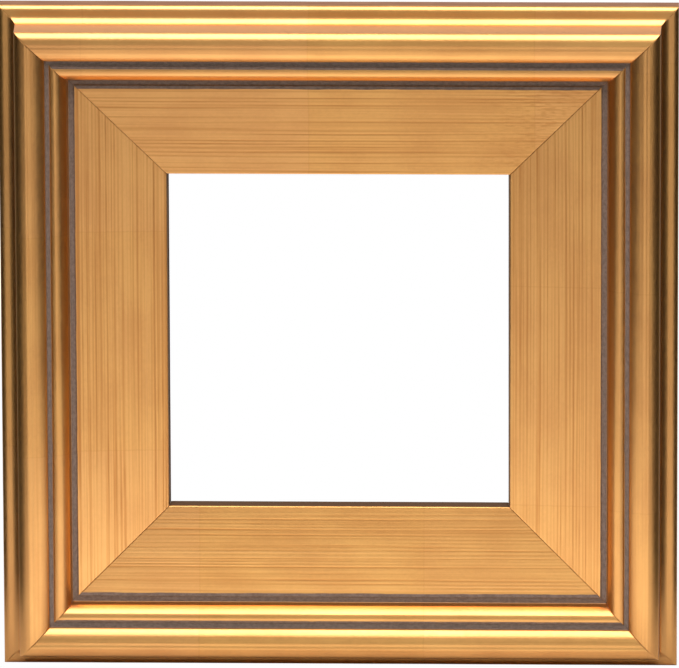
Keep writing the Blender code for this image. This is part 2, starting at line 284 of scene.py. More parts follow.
def turned(name, profile, surface, sides, radius_at=None):
    """A turned solid on the Y axis. Profile is (radius, y) in millimetres; radius_at
    gives a radius that also depends on the angle, as on a thread."""
    angles = np.linspace(0, 2 * math.pi, sides, endpoint=False)
    profile = np.array(profile, dtype=float)
    radii = np.repeat(profile[:, :1], sides, axis=1)
    if radius_at:
        radii = radius_at(radii, profile[:, 1:2], angles[None, :])
    heights = np.broadcast_to(profile[:, 1:2], radii.shape)
    points = np.stack([radii * np.cos(angles), heights, radii * np.sin(angles)], axis=-1)
    return solid(name, points, [surface])


def cut_away(target, cutters):
    """Cuts the cutters out of target for good, and removes them."""
    bpy.context.view_layer.update()
    for cutter in cutters:
        modifier = target.modifiers.new("cut", "BOOLEAN")
        modifier.operation = "DIFFERENCE"
        modifier.solver = "EXACT"
        modifier.object = cutter
    graph = bpy.context.evaluated_depsgraph_get()
    mesh = bpy.data.meshes.new_from_object(target.evaluated_get(graph))
    mesh.set_sharp_from_angle(angle=SHARP)
    target.modifiers.clear()
    target.data = mesh
    for cutter in cutters:
        bpy.data.objects.remove(cutter)


def put(piece, place, body, node):
    """Sets a piece at a place in millimetres, on its body, in place of its CAD node."""
    piece.location = Vector(place) * MM
    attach(piece, body)
    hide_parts(node)
    return piece


# ---------------------------------------------------------------- rails

def wood_grain(s, u, seed):
    """Relief of the combed grain under the leaf: its lines, and the open pores in them."""
    drift = u + 0.4 * noise(s / 110, u / 9, seed) + 0.06 * noise(s / 20, u / 3, seed + 1)
    broad = noise(s / 230, drift / 1.7, seed + 2)
    middle = noise(s / 170, drift / 0.75, seed + 3)
    fine = noise(s / 70, drift / 0.42, seed + 4)
    teeth = np.cos(2 * math.pi * (drift / COMB_TEETH + 0.5 * noise(s / 240, drift / 5, seed + 6)))
    teeth = teeth * (0.65 + 0.35 * noise(s / 40, drift / 4, seed + 7))
    breaks = noise(s / 12, drift / 0.42, seed + 5)
    lines = 0.15 * broad + 0.35 * middle + 0.4 * fine + 0.38 * teeth
    return lines, ramp(-lines - 0.3 * breaks, 0.3, 0.95)


def rail_point(side, along, inward, height):
    out = HALF - inward
    x, z = {"top": (along, out), "right": (out, -along),
            "bottom": (-along, -out), "left": (-out, along)}[side]
    y = np.broadcast_to(BACK_Y - height, np.shape(x + z))
    return np.stack([x + 0 * z, y, CENTRE_Z + z + 0 * x], axis=-1)


FACE = visible_section()
SECTION = np.vstack([FACE, back_section()])
NORMALS = section_normals(SECTION)


def rail_grid(side):
    """Places along the rail and across its section, as two grids."""
    u = SECTION[:, 0]
    reach = HALF - u - MITRE_GAP
    notch = np.array([d for d, _ in MITRE_NOTCH])
    inner = np.linspace(-1, 1, STATIONS)[:, None] * (reach - notch[-1] - 0.4)
    near = -(reach - notch[:, None])
    far = (reach - notch[::-1, None])
    s = np.vstack([near, inner, far])
    edge = reach - np.abs(s)
    return s, np.broadcast_to(u, s.shape), edge


def groove_paint(side, s, u, seed):
    """1 where the grooves are painted, with an inner edge that wanders a little."""
    paint = np.zeros(s.shape)
    half = PAINT_EDGE / 2
    for number, (low, high) in enumerate(PAINT[side]):
        row = np.full(s.shape, float(number))
        wander = 0.10 * noise(s / 11, row, seed) + 0.05 * noise(s / 3, row, seed + 1)
        paint = np.maximum(paint, ramp(u - low, -half, half) * ramp(high + wander - u, -half, half))
    return paint


def mitre_sink(s, u, edge, seed):
    """How deep each point lies in the small valley along the mitre."""
    rough = 0.75 + 0.35 * noise(s / 1.1, u / 1.1, seed)
    sink = np.zeros(s.shape)
    for distance, depth in MITRE_NOTCH:
        sink = np.where(np.abs(edge - distance) < 1e-6, depth * rough, sink)
    return sink


def wall_zone(u, v):
    """1 on the steep wall between the hollow and the shoulder."""
    zone = ramp(v, WALL_FOOT[1] - 0.5, WALL_FOOT[1] + 1) * ramp(WALL_TOP[1] + 0.3 - v, 0, 1)
    return zone * ramp(WALL_TOP[0] + 0.3 - u, 0, 0.2)


def relief(side, s, u, edge):
    """How far each point stands off the section, and the values that its material reads."""
    seed = 40 * SIDES.index(side)
    visible = np.arange(len(SECTION)) < len(FACE)
    lines, pores = wood_grain(s, u, seed + 3)
    on_panel = ramp(u, PANEL_START[0] - 0.1, PANEL_START[0] + 0.7) * ramp(RAIL_WIDTH - u, 0.3, 1.2)
    on_crest = ramp(u, CREST[0] - 1.2, CREST[0] - 0.2) * ramp(CREST_END - u, 0, 1.5)
    swell = noise(s / 24, u / 13, seed + 9) + 0.5 * noise(s / 9, u / 6, seed + 10)
    patch = ramp(noise(s / 30, u / 14, seed + 11), -0.3, 0.6)
    bold = ramp(noise(s / 260, u / 1.15, seed + 15), 0.62, 0.8) * BOLD_LINES[side]
    chopped = ramp(noise(s / 2.2, u / 0.5, seed + 16), 0.1, 0.6)
    chopped = chopped * ramp(s + 6 * noise(s / 5, u / 4, seed + 17), *CHOPPED_FROM[side])
    height = (0.02 * lines - 0.035 * pores * (0.55 + 0.45 * patch)) * on_panel
    height -= (0.05 * bold + 0.03 * chopped) * on_panel
    height += (0.009 * lines - 0.02 * pores) * on_crest
    height += SWELL * (swell - 1.5) * visible
    height -= mitre_sink(s, u, edge, seed + 12) * visible
    depth = np.maximum(pores * (0.5 + 0.5 * patch), np.maximum(0.9 * bold, 0.6 * chopped))
    values = {"pores": depth * on_panel + 0.4 * pores * on_crest,
              "lines": lines * np.maximum(on_panel, 0.4 * on_crest),
              "paint": groove_paint(side, s, u, seed + 13) * visible,
              "wall": wall_zone(u, np.broadcast_to(SECTION[:, 1], s.shape)) * visible}
    return height, values


def add_attribute(mesh, name, kind, field, numbers):
    layer = mesh.attributes.new(name, kind, "POINT")
    layer.data.foreach_set(field, np.ascontiguousarray(numbers, dtype=np.float32).ravel())


def add_run(mesh, side):
    """Gives each point its place as (along the rail, in from its edge, up from its back)."""
    points = np.empty(len(mesh.vertices) * 3, dtype=np.float32)
    mesh.vertices.foreach_get("co", points)
    x, y, z = points.reshape(-1, 3).T / MM
    z = z - CENTRE_Z
    along, out = {"top": (x, z), "right": (-z, x), "bottom": (-x, -z), "left": (z, -x)}[side]
    along = along + RAIL_APART * (SIDES.index(side) + 1)
    add_attribute(mesh, "run", "FLOAT_VECTOR", "vector", np.column_stack([along, HALF - out, BACK_Y - y]))


def face_zones():
    """Which surface each strip of the section gets: gilded, edge wash or bare wood."""
    u, v = SECTION.T
    zones = np.full(len(SECTION), GILDED)
    zones[(u < ARRIS_RADIUS) & (v < SIDE_HEIGHT - 0.2)] = WASHED
    zones[(u > RAIL_WIDTH - SIGHT_DRAFT - 0.1) & (v < PANEL_END_HEIGHT - 0.7)] = WASHED
    zones[len(FACE) - 1:] = BARE
    return zones


def make_rail(side, surfaces):
    """One mitred length of moulding, lofted from its section with its relief."""
    s, u, edge = rail_grid(side)
    height, values = relief(side, s, u, edge)
    across = np.maximum(SECTION[:, 0] + NORMALS[:, 0] * height, 0)
    up = SECTION[:, 1] + NORMALS[:, 1] * height
    rail = solid(f"rail_{side}_wood", rail_point(side, s, across, up), surfaces)
    for name, numbers in values.items():
        add_attribute(rail.data, name, "FLOAT", "value", numbers)
    zones = face_zones()
    slots = np.concatenate([np.tile(zones, len(s) - 1), [BARE, BARE]]).astype(np.int32)
    rail.data.polygons.foreach_set("material_index", slots)
    cut_away(rail, rail_cutters(side, surfaces[2]))
    add_run(rail.data, side)
    return put(rail, (0, 0, 0), BODY, f"rail_{side}")


# ---------------------------------------------------------------- hardware

GAP = 0.3                          # clearance between touching pieces
HOLE_SIDES = 32
SCREW_SIDES = 32
BUMPER_SIDES = 56
WIRE_SIDES = 24
THREAD_PITCH = 1.15
THREAD_CORE = 1.12
SHANK = 1.55
POINT_LENGTH = 3.5
POINT_RADIUS = 0.05
POINT_ROWS = 26
NECK_END = -1.9                    # rows of the shank start here, down from the head's top
THREAD_ROW = 0.12
THREAD_START = -2.9
SCREW_HEAD = ((0.9, 0.0), (1.75, -0.02), (2.35, -0.16), (2.8, -0.42), (3.08, -0.75), (3.18, -1.0),
              (3.2, -1.25), (3.2, -1.6), (3.12, -1.7))   # (radius, down from the head's top)
RECESS_ABOVE = 0.3
RECESS_DEPTH = 0.95
RECESS_MOUTH = (1.75, 0.36)        # half length and half width of an arm
RECESS_FLOOR = (0.75, 0.24)
WIRE = 1.0
RING_HALF_WIDTH = 7.4
RING_CORNER = 1.8
RING_ARC_HEIGHT = 4.0
STRAP_SHEET = 0.8
STRAP_SLIT = 0.16
STRAP_HOLE = 2.0
BUTTON_TAIL = 5.0
BUTTON_TIP = 3.6
BUTTON_REACH = 19.0
BUTTON_HOLE = 2.0
BUTTON_EDGE = ((0.25, 0.0), (0.07, 0.06), (0.0, 0.22), (0.0, 0.78), (0.07, 0.94), (0.25, 1.0),
               (1.0, 1.0), (1.3, 0.84))    # (in from the outline, up from the back)
BUTTON_EYE = ((2.75, 0.84), (2.45, 1.0), (2.15, 1.0), (2.0, 0.88), (2.0, 0.12), (2.12, 0.0))
BUMPER_SHAPE = ((6.05, 0.0), (6.35, -0.2), (6.35, -0.75), (6.3, -1.3), (6.2, -2.4), (6.08, -3.6),
                (5.93, -4.1), (5.72, -4.35), (5.4, -4.46), (4.6, -4.5), (2.0, -4.5), (1.7, -4.35),
                (1.0, -4.25))              # (radius, from the rail side towards the wall)


def middle_of(node):
    low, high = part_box(node)
    return (low + high) / 2 / MM


def span_of(node):
    low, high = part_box(node)
    return low / MM, high / MM


def thread(radii, heights, angles):
    """Cuts a helical groove into the shank's rows and leaves the other rows as they are."""
    turn = np.mod(heights / THREAD_PITCH - angles / (2 * math.pi), 1.0)
    ridge = np.clip(1 - np.abs(turn - 0.5) / 0.32, 0, 1)
    threaded = THREAD_CORE + (radii - THREAD_CORE) * ridge
    return np.where((radii > 0.2) & (radii <= SHANK + 1e-6) & (heights < THREAD_START), threaded, radii)


def recess_arm(quarter):
    """A cutter for one arm of the cross recess, tapered towards its floor."""
    shape = bmesh.new()
    ends = []
    for y, reach, half in ((RECESS_ABOVE, *RECESS_MOUTH), (-RECESS_DEPTH, *RECESS_FLOOR)):
        corners = [(-reach, -half), (reach, -half), (reach, half), (-reach, half)]
        if quarter:
            corners = [(-b, a) for a, b in corners]
        ends.append([shape.verts.new((a * MM, y * MM, b * MM)) for a, b in corners])
    shape.faces.new(ends[0])
    shape.faces.new(ends[1])
    for i in range(4):
        j = (i + 1) % 4
        shape.faces.new((ends[0][i], ends[0][j], ends[1][j], ends[1][i]))
    bmesh.ops.recalc_face_normals(shape, faces=shape.faces[:])
    return linked("recess", mesh_from(shape, "recess"))


def make_screw(node, surface):
    """A pan-head wood screw with a cross recess and a rolled thread, head to the wall."""
    low, high = span_of(node)
    point_start = -(high.y - low.y - POINT_LENGTH)
    profile = list(SCREW_HEAD) + [(SHANK, SCREW_HEAD[-1][1])]
    profile += [(SHANK, y) for y in np.arange(NECK_END, point_start, -THREAD_ROW)]
    profile += [(SHANK + (POINT_RADIUS - SHANK) * t, point_start - t * POINT_LENGTH)
                for t in np.linspace(0, 1, POINT_ROWS)]
    screw = turned(f"{node}_steel", profile, surface, SCREW_SIDES, thread)
    cut_away(screw, [recess_arm(quarter) for quarter in (0, 1)])
    centre = middle_of(node)
    return put(screw, (centre.x, high.y, centre.z), BODY, node)


def button_outline():
    span = BUTTON_REACH - BUTTON_TIP
    taper = math.degrees(math.asin((BUTTON_TAIL - BUTTON_TIP) / span))
    outline = arc((0, 0), BUTTON_TAIL, 90 - taper, 270 + taper, 44)
    side = np.linspace(outline[-1], arc((span, 0), BUTTON_TIP, -90 + taper, 0, 1)[0], 9)[1:-1]
    outline += [tuple(p) for p in side]
    outline += arc((span, 0), BUTTON_TIP, -90 + taper, 90 - taper, 28)
    outline += [(x, -z) for x, z in reversed([tuple(p) for p in side])]
    return np.array(outline)


def make_turn_button(side, surface):
    """A stamped pear-shaped button with rolled edges, a sunk face and a raised eye."""
    outline = button_outline()
    reach = np.hypot(*outline.T)[:, None]
    ways = outline / reach
    rows = [(outline - ways * inset, height) for inset, height in BUTTON_EDGE]
    rows += [(ways * radius, height) for radius, height in BUTTON_EYE]
    points = np.array([np.column_stack([flat[:, 0], np.full(len(flat), height), flat[:, 1]])
                       for flat, height in rows])
    quarter = SIDES.index(side) * math.pi / 2
    turn = np.array([[math.cos(quarter), math.sin(quarter)], [-math.sin(quarter), math.cos(quarter)]])
    points[:, :, [0, 2]] = points[:, :, [0, 2]] @ turn.T
    button = solid(f"turn_button_{side}_brass", points, [surface], closed_rows=True)
    pivot = middle_of(f"turn_button_screw_{side}")
    place = (pivot.x, span_of(f"turn_button_{side}")[0].y, pivot.z)
    return put(button, place, f"button_{side}", f"turn_button_{side}")


def ring_pivot(side):
    """The middle of the D-ring's bar."""
    centre = middle_of(f"d_ring_{side}")
    return Vector((centre.x, centre.y, span_of(f"d_ring_{side}")[0].z + WIRE))


def make_ring(side, surface):
    """A bent wire D, with the joint of its ends in the bar."""
    bar = RING_HALF_WIDTH - RING_CORNER
    path = [(x, 0.0) for x in np.linspace(-bar, bar, 22)[1:-1]]
    path += arc((bar, RING_CORNER), RING_CORNER, -90, 0, 12)
    path += [(RING_HALF_WIDTH, z) for z in np.linspace(RING_CORNER, RING_ARC_HEIGHT, 5)[1:-1]]
    path += arc((0, RING_ARC_HEIGHT), RING_HALF_WIDTH, 0, 180, 64)
    path += [(-RING_HALF_WIDTH, z) for z in np.linspace(RING_ARC_HEIGHT, RING_CORNER, 5)[1:-1]]
    path += arc((-bar, RING_CORNER), RING_CORNER, 180, 270, 12)
    path = np.array(path)
    ahead = np.roll(path, -1, axis=0) - np.roll(path, 1, axis=0)
    out = np.column_stack([ahead[:, 1], -ahead[:, 0]]) / np.hypot(*ahead.T)[:, None]
    seam = np.abs(path[:, 0]) + 20 * np.abs(path[:, 1])
    radii = WIRE - 0.1 * np.exp(-(seam / 0.32) ** 2)
    angles = np.linspace(0, 2 * math.pi, WIRE_SIDES, endpoint=False)
    across = radii[:, None] * np.cos(angles)
    points = np.stack([path[:, :1] + out[:, :1] * across, radii[:, None] * np.sin(angles),
                       path[:, 1:] + out[:, 1:] * across], axis=-1)
    ring = solid(f"d_ring_{side}_wire", points, [surface], closed_rows=True)
    return put(ring, ring_pivot(side), f"ring_{side}", f"d_ring_{side}")


def inset_loop(points, distance):
    """A closed (a, b) loop moved in by distance along its own normals."""
    before, after = np.roll(points, 1, axis=0), np.roll(points, -1, axis=0)
    first, second = points - before, after - points
    normals = [np.column_stack([-d[:, 1], d[:, 0]]) / np.hypot(*d.T)[:, None] for d in (first, second)]
    mean = normals[0] + normals[1]
    mean /= np.maximum(np.sum(mean * normals[0], axis=1), 0.4)[:, None]
    return points + mean * distance


def strap_outline(side):
    """The folded strap seen along the ring's bar, as (z, y) about the bar's middle."""
    low, high = span_of(f"strap_hanger_{side}")
    pivot = ring_pivot(side)
    back, foot = low.y - pivot.y, low.z - pivot.z
    outer = -back
    inner = outer - STRAP_SHEET
    top = back + 2 * STRAP_SHEET + STRAP_SLIT
    slit = back + STRAP_SHEET + STRAP_SLIT
    meet = math.degrees(math.asin(top / outer))
    part = math.degrees(math.asin(slit / inner))
    loop = [(foot, back)] + arc((0, 0), outer, -90, 180 - meet, 40)
    loop += [(foot, top), (foot, slit)]
    loop += arc((0, 0), inner, 180 - part, -90, 34) + [(foot, back + STRAP_SHEET)]
    return np.array(loop), high.x - low.x


def make_strap(side, surface):
    """A strap folded double round the ring's bar, with eased edges and two screw holes."""
    outline, width = strap_outline(side)
    area = np.sum(outline[:, 0] * np.roll(outline[:, 1], -1) - outline[:, 1] * np.roll(outline[:, 0], -1))
    hand = 1 if area > 0 else -1
    half = width / 2
    rows = [(-half, 0.14), (-half + 0.05, 0.05), (-half + 0.16, 0.0), (half - 0.16, 0.0),
            (half - 0.05, 0.05), (half, 0.14)]
    points = []
    for x, ease in rows:
        loop = inset_loop(outline, hand * ease)
        points.append(np.column_stack([np.full(len(loop), x), loop[:, 1], loop[:, 0]]))
    strap = solid(f"strap_hanger_{side}_nickel", np.array(points), [surface])
    pivot = ring_pivot(side)
    cutters = []
    for number in (1, 2):
        spot = middle_of(f"hanger_screw_{side}_{number}")
        hole = turned("hole", ((STRAP_HOLE, -4.0), (STRAP_HOLE, 4.0)), surface, HOLE_SIDES)
        hole.location = Vector((0, 0, spot.z - pivot.z)) * MM
        cutters.append(hole)
    cut_away(strap, cutters)
    return put(strap, pivot, BODY, f"strap_hanger_{side}")


def make_bumper(side, surface):
    """A moulded rubber foot with a flared base and a dimple in its face."""
    profile = [(radius, -y) for radius, y in BUMPER_SHAPE]
    bumper = turned(f"wall_bumper_{side}_rubber", profile, surface, BUMPER_SIDES)
    low, centre = span_of(f"wall_bumper_{side}")[0], middle_of(f"wall_bumper_{side}")
    return put(bumper, (centre.x, low.y, centre.z), BODY, f"wall_bumper_{side}")


def rail_cutters(side, surface):
    """Slots for the V-nails and pilot holes for the screws, in a rail's back."""
    cutters = []
    for node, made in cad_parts.items():
        if node.startswith("v_nail") and side in node:
            cutters.append(slot_cutter(made))
    screws = [f"turn_button_screw_{side}"]
    if side in HANDS:
        screws += [f"hanger_screw_{side}_{number}" for number in (1, 2)]
    for node in screws:
        low, centre = span_of(node)[0], middle_of(node)
        hole = turned("pilot", ((SHANK + GAP, 1.0), (SHANK + GAP, low.y - BACK_Y + POINT_LENGTH),
                                (GAP, low.y - BACK_Y - GAP)), surface, HOLE_SIDES)
        hole.location = Vector((centre.x, BACK_Y, centre.z)) * MM
        cutters.append(hole)
    return cutters


def slot_cutter(nail):
    """A V-nail's solid grown by half the clearance on every side, and out past the back."""
    shape = bmesh.new()
    shape.from_mesh(nail.data)
    bmesh.ops.remove_doubles(shape, verts=shape.verts[:], dist=0.00001)
    bmesh.ops.dissolve_limit(shape, angle_limit=0.02, verts=shape.verts[:], edges=shape.edges[:])
    shape.normal_update()
    grow = {v: sum((f.normal for f in v.link_faces), Vector()) for v in shape.verts}
    for vert, way in grow.items():
        vert.co += Vector((way.x, 0, way.z)) * 0.5 * GAP * MM
        vert.co.y += (2.0 if way.y > 0 else -GAP) * MM
    return linked("nail_slot", mesh_from(shape, "nail_slot"))


# ---------------------------------------------------------------- materials

class Nodes:
    """Short ways to add nodes to a tree and join them."""

    def __init__(self, tree):
        self.tree = tree

    def node(self, kind, inputs=(), output=0, **settings):
        made = self.tree.nodes.new(kind)
        for key, value in settings.items():
            setattr(made, key, value)
        for key, value in dict(inputs).items():
            self.feed(made.inputs[key], value)
        return made.outputs[output]

    def feed(self, socket, value):
        if isinstance(value, bpy.types.NodeSocket):
            self.tree.links.new(value, socket)
        elif isinstance(value, tuple) and len(value) == 3 and len(socket.default_value) == 4:
            socket.default_value = (*value, 1.0)
        else:
            socket.default_value = value

    def part(self, vector, axis):
        return self.node("ShaderNodeSeparateXYZ", {"Vector": vector}, axis)

    def attribute(self, name, output="Fac"):
        return self.node("ShaderNodeAttribute", output=output, attribute_name=name)

    def math(self, operation, a, b=0.0, clamp=False):
        return self.node("ShaderNodeMath", {0: a, 1: b}, operation=operation, use_clamp=clamp)

    def stretched(self, vector, scale):
        return self.node("ShaderNodeMapping", {"Vector": vector, "Scale": scale})

    def noise(self, vector, scale, detail=2.0, rough=0.5):
        inputs = {"Vector": vector, "Scale": scale, "Detail": detail, "Roughness": rough}
        return self.node("ShaderNodeTexNoise", inputs)

    def remap(self, value, low, high, to_low=0.0, to_high=1.0):
        inputs = {"Value": value, "From Min": low, "From Max": high, "To Min": to_low, "To Max": to_high}
        return self.node("ShaderNodeMapRange", inputs, interpolation_type="SMOOTHSTEP")

    def mix(self, factor, first, second):
        made = self.tree.nodes.new("ShaderNodeMix")
        made.data_type = "RGBA"
        self.feed(made.inputs[0], factor)
        self.feed(made.inputs[6], first)
        self.feed(made.inputs[7], second)
        return made.outputs[2]

    def bump(self, height, distance, strength):
        inputs = {"Height": height, "Distance": distance, "Strength": strength}
        return self.node("ShaderNodeBump", inputs, output="Normal")


class Surface(Nodes):
    """A material under construction: a Principled shader and the nodes that feed it."""

    def __init__(self, name, **constants):
        self.material = bpy.data.materials.new(name)
        self.material.use_nodes = True
        super().__init__(self.material.node_tree)
        self.shader = self.tree.nodes["Principled BSDF"]
        for socket, value in constants.items():
            self.shader.inputs[socket.replace("_", " ")].default_value = value

    def set(self, socket, value):
        self.feed(self.shader.inputs[socket], value)


GOLD_LIGHT = (0.94, 0.515, 0.142)
GOLD_MID = (0.82, 0.415, 0.112)
GOLD_DEEP = (0.68, 0.29, 0.065)
GOLD_PALE = (1.0, 0.56, 0.19)
GOLD_ROSY = (0.95, 0.50, 0.20)
LEAF_SIDE = 97.0                   # a gold leaf's side, in mm
BOLE = (0.24, 0.085, 0.035)
GROOVE_GREY = (0.27, 0.205, 0.155)
WALL_TONE = (0.44, 0.235, 0.105)
SIDE_TONE = (0.30, 0.165, 0.085)
# painted shade: the sight edge's inner lip is coloured darker than the outer edge's wash
LIP_PAINTED_SHADE = (0.13, 0.07, 0.03)


def gilded_surface():
    """Toned gold leaf over bole and grain, with grey-brown paint in the grooves."""
    s = Surface("toned_gold_leaf", Metallic=1.0, Roughness=0.4, Coat_Weight=0.35, Coat_Roughness=0.3,
                Specular_Tint=(0.80, 0.66, 0.45, 1.0))
    run = s.attribute("run", "Vector")
    pores, lines, paint, wall = (s.attribute(name) for name in ("pores", "lines", "paint", "wall"))
    cloud = s.noise(s.stretched(run, (0.035, 0.06, 0.06)), 1.0, 3.0)
    mottle = s.noise(s.stretched(run, (0.5, 0.8, 0.8)), 1.0, 4.0, 0.6)
    streak = s.noise(s.stretched(run, (0.05, 2.6, 2.6)), 1.0, 3.0, 0.6)
    tone = s.math("ADD", s.math("MULTIPLY", cloud, 0.5), s.math("MULTIPLY", mottle, 0.25))
    tone = s.math("ADD", tone, s.math("MULTIPLY", streak, 0.25))
    colour = s.mix(s.remap(tone, 0.36, 0.62), GOLD_MID, GOLD_LIGHT)
    leaf = s.math("ADD", s.math("DIVIDE", s.part(run, "X"), LEAF_SIDE), s.math("MULTIPLY", mottle, 0.012))
    sheet = s.node("ShaderNodeTexWhiteNoise", {"W": s.math("FLOOR", leaf)}, "Value", noise_dimensions="1D")
    colour = s.mix(s.remap(sheet, 0.0, 1.0, 0.0, 0.22), colour, GOLD_ROSY)
    seam = s.math("ABSOLUTE", s.math("SUBTRACT", s.math("FRACT", leaf), 0.5))
    colour = s.mix(s.remap(seam, 0.4955, 0.499, 0.0, 0.2), colour, GOLD_DEEP)
    colour = s.mix(s.remap(lines, 0.25, -0.65, 0.0, 0.6), colour, GOLD_DEEP)
    colour = s.mix(s.remap(lines, 0.3, 0.9, 0.0, 0.35), colour, GOLD_PALE)
    colour = s.mix(s.math("MULTIPLY", pores, 0.6), colour, GOLD_DEEP)
    specks = s.noise(run, 1.35, 1.0)
    speck = s.remap(specks, 0.89, 0.92)
    colour = s.mix(speck, colour, BOLE)
    colour = s.mix(paint, colour, s.mix(s.remap(mottle, 0.35, 0.65), GROOVE_GREY, (0.20, 0.145, 0.105)))
    colour = s.mix(wall, colour, WALL_TONE)
    s.set("Base Color", colour)
    metal = s.math("SUBTRACT", 1.0, s.math("MULTIPLY", wall, 0.85))
    s.set("Metallic", s.math("SUBTRACT", metal, paint, clamp=True))
    rough = s.remap(mottle, 0.3, 0.7, 0.33, 0.41)
    rough = s.math("ADD", rough, s.math("MULTIPLY", pores, 0.15))
    rough = s.math("ADD", rough, s.math("MULTIPLY", wall, 0.25))
    rough = s.math("ADD", rough, s.math("MULTIPLY", paint, 0.35), clamp=True)
    s.set("Roughness", rough)
    fine = s.noise(s.stretched(run, (0.8, 5.0, 5.0)), 1.0, 3.0, 0.6)
    s.set("Normal", s.bump(fine, 0.00003, 0.5))
    return s.material


def side_surface():
    """Thin brown wash over gesso on the outer and inner edges, with painted shade darkening the inner lip.
    """
    s = Surface("brown_edge_wash", Roughness=0.75, Specular_IOR_Level=0.2)
    run = s.attribute("run", "Vector")
    cloud = s.noise(s.stretched(run, (0.06, 0.5, 0.5)), 1.0, 4.0, 0.6)
    colour = s.mix(s.remap(cloud, 0.35, 0.65), SIDE_TONE, (0.24, 0.12, 0.06))
    # painted shade: the wash darkens towards the inner lip and stands in for the shade on the sight edge's
    # wall
    on_shaded_lip = s.remap(s.part(run, "Y"), 20.0, 40.0)
    s.set("Base Color", s.mix(on_shaded_lip, colour, LIP_PAINTED_SHADE))
    s.set("Normal", s.bump(s.noise(s.stretched(run, (0.4, 4.0, 4.0)), 1.0, 3.0), 0.00008, 0.6))
    return s.material


def wood_surface():
    """Bare basswood on the back and in the rabbet."""
    s = Surface("bare_basswood", Roughness=0.7)
    run = s.attribute("run", "Vector")
    grain = s.noise(s.stretched(run, (0.012, 0.6, 0.6)), 1.0, 5.0, 0.65)
    fibre = s.noise(s.stretched(run, (0.08, 6.0, 6.0)), 1.0, 3.0, 0.7)
    colour = s.mix(s.remap(grain, 0.35, 0.65), (0.62, 0.46, 0.29), (0.72, 0.57, 0.39))
    colour = s.mix(s.remap(fibre, 0.55, 0.75, 0.0, 0.4), colour, (0.42, 0.27, 0.15))
    s.set("Base Color", colour)
    s.set("Normal", s.bump(fibre, 0.0001, 0.7))
    return s.material


def metal_surface(name, bright, dull, low_rough, high_rough, grain=0.00002):
    """Plated or plain metal with clouded polish, fine scratches and a little tarnish."""
    s = Surface(name, Metallic=1.0)
    place = s.node("ShaderNodeTexCoord", output="Object")
    cloud = s.noise(place, 260.0, 4.0, 0.6)
    scratch = s.noise(s.stretched(place, (3000.0, 3000.0, 350.0)), 1.0, 2.0, 0.7)
    pits = s.noise(place, 2600.0, 2.0, 0.5)
    s.set("Base Color", s.mix(s.remap(cloud, 0.42, 0.7), bright, dull))
    rough = s.remap(cloud, 0.3, 0.7, low_rough, high_rough)
    s.set("Roughness", s.math("ADD", rough, s.remap(scratch, 0.5, 0.8, 0.0, 0.12)))
    s.set("Normal", s.bump(s.math("ADD", scratch, s.math("MULTIPLY", pits, 0.5)), grain, 0.5))
    return s.material


def rubber_surface():
    s = Surface("moulded_rubber", Roughness=0.7)
    place = s.node("ShaderNodeTexCoord", output="Object")
    cloud = s.noise(place, 300.0, 3.0, 0.6)
    s.set("Base Color", s.mix(s.remap(cloud, 0.35, 0.65), (0.022, 0.022, 0.023), (0.04, 0.039, 0.038)))
    s.set("Roughness", s.remap(cloud, 0.3, 0.7, 0.62, 0.8))
    s.set("Normal", s.bump(s.noise(place, 4000.0, 2.0, 0.6), 0.00003, 0.6))
    return s.material


# ---------------------------------------------------------------- stage, lights and camera

CAD_LOW, CAD_HIGH = CAD_BOX
CENTRE = (CAD_LOW + CAD_HIGH) / 2
WIDTH = CAD_HIGH.x - CAD_LOW.x
VIEW_AZIMUTH = math.radians(1.8)
VIEW_ELEVATION = math.radians(13.6)
VIEW_ROLL = math.radians(-0.2)
LENS = 600.0
SENSOR = 36.0
FRAMED_WIDTH = WIDTH * 1.0028
OUTER_ARRIS_Y = (BACK_Y - SIDE_HEIGHT) * MM
AIM = Vector((CENTRE.x + 0.1 * MM, OUTER_ARRIS_Y, CENTRE.z + 1.25 * MM))


def make_camera():
    data = bpy.data.cameras.new("camera")
    data.lens = LENS
    data.sensor_width = SENSOR
    direction = Vector((math.sin(VIEW_AZIMUTH) * math.cos(VIEW_ELEVATION),
                        -math.cos(VIEW_AZIMUTH) * math.cos(VIEW_ELEVATION), math.sin(VIEW_ELEVATION)))
    camera = linked("camera", data)
    distance = FRAMED_WIDTH * LENS / SENSOR
    camera.location = AIM + direction * distance
    turn = direction.to_track_quat("Z", "Y") @ Quaternion((0, 0, 1), VIEW_ROLL)
    camera.rotation_euler = turn.to_euler()
    data.clip_end = distance * 4
    bpy.context.scene.camera = camera


def area_light(name, power, size, place, target, tint=(1.0, 1.0, 1.0)):
    data = bpy.data.lights.new(name, "AREA")
    data.shape = "RECTANGLE"
    data.size, data.size_y = size
    data.energy = power
    data.color = tint
    lamp = linked(name, data)
    lamp.location = place
    lamp.rotation_euler = (Vector(place) - Vector(target)).to_track_quat("Z", "Y").to_euler()
    lamp.visible_camera = False


def make_lights():
    above = (0.0, -0.45, CENTRE.z + 1.25)
    area_light("overhead", 24.0, (1.1, 1.5), above, (above[0], above[1], CENTRE.z), (1.0, 0.9, 1.0))
    area_light("front", 5.5, (1.2, 2.4), (0.2, -2.1, CENTRE.z + 0.85), CENTRE)


WALL_GLOW = (0.07, 0.68)           # in front of the object, and behind it
SIDE_DIMMING = 0.08


